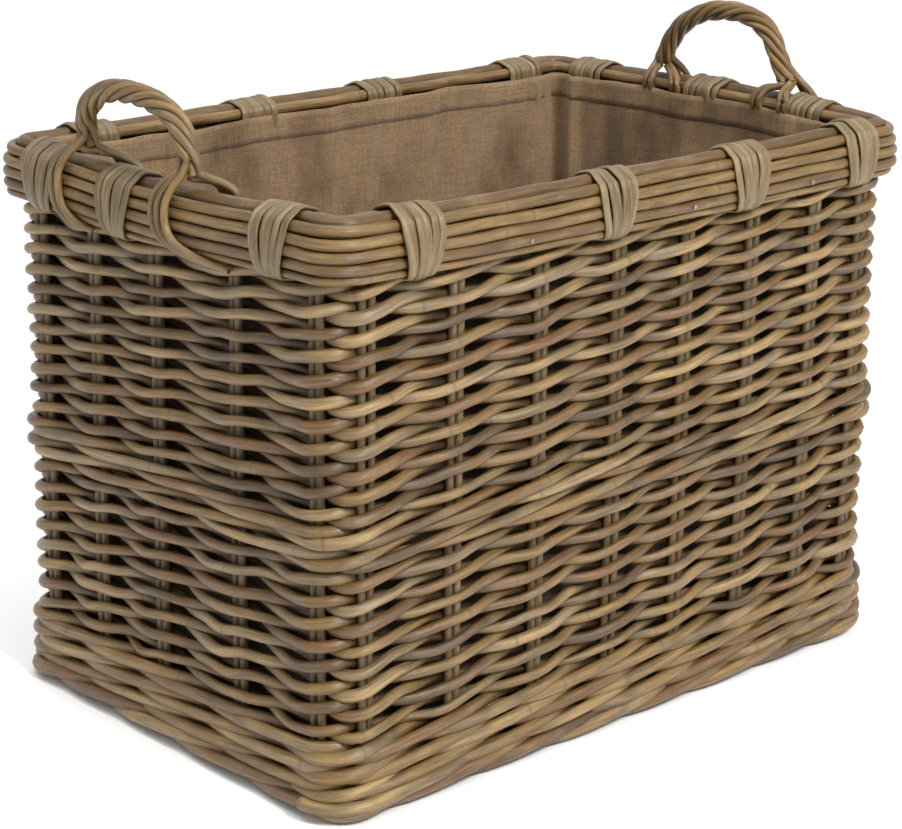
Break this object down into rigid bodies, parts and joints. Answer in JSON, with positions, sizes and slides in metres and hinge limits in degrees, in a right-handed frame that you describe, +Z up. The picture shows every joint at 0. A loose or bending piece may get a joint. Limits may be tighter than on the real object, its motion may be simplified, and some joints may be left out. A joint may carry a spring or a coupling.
{
  "type": "wicker log basket",
  "caption": "Rectangular wicker basket with a bound cane rim, roped end handles and a hessian liner, for storing and carrying firewood.",
  "frame": {"origin": "middle of the underside, on the floor", "axes": "+X along the long side, +Y along the short side towards the back wall, +Z up"},
  "size_m": [0.6726, 0.4556, 0.5505],
  "materials": {
    "rattan_weave": "weathered, satin",
    "rattan_stake": "weathered, matte",
    "rattan_cane": "peeled cane, satin",
    "rattan_binding": "split cane skin, slight gloss",
    "rattan_handle": "weathered, satin",
    "hessian": "coarse plain weave, matte",
    "nail_steel": "dull zinc"
  },
  "bodies": {
    "root": {"back_binding_1": "rattan_binding", "back_binding_2": "rattan_binding", "back_binding_3": "rattan_binding", "back_binding_4": "rattan_binding", "back_stakes": "rattan_stake", "base_hoop": "rattan_cane", "base_sticks": "rattan_stake", "base_weave": "rattan_weave", "foot_border": "rattan_weave", "foot_wale": "rattan_weave", "front_binding_1": "rattan_binding", "front_binding_2": "rattan_binding", "front_binding_3": "rattan_binding", "front_binding_4": "rattan_binding", "front_stakes": "rattan_stake", "left_binding_1": "rattan_binding", "left_binding_2": "rattan_binding", "left_binding_3": "rattan_binding", "left_handle_core": "rattan_handle", "left_handle_lashings": "rattan_handle", "left_handle_rope": "rattan_handle", "left_stakes": "rattan_stake", "liner_floor": "hessian", "liner_hem": "hessian", "liner_sides": "hessian", "lower_weave": "rattan_weave", "middle_wale": "rattan_weave", "right_binding_1": "rattan_binding", "right_binding_2": "rattan_binding", "right_binding_3": "rattan_binding", "right_handle_core": "rattan_handle", "right_handle_lashings": "rattan_handle", "right_handle_rope": "rattan_handle", "right_stakes": "rattan_stake", "rim_inner_cane": "rattan_cane", "rim_lowest_cane": "rattan_cane", "rim_nails": "nail_steel", "rim_outer_cane_1": "rattan_cane", "rim_outer_cane_2": "rattan_cane", "rim_outer_cane_3": "rattan_cane", "rim_outer_cane_4": "rattan_cane", "rim_top_cane": "rattan_cane", "top_weave": "rattan_weave", "upper_weave": "rattan_weave"}
  },
  "joints": []
}
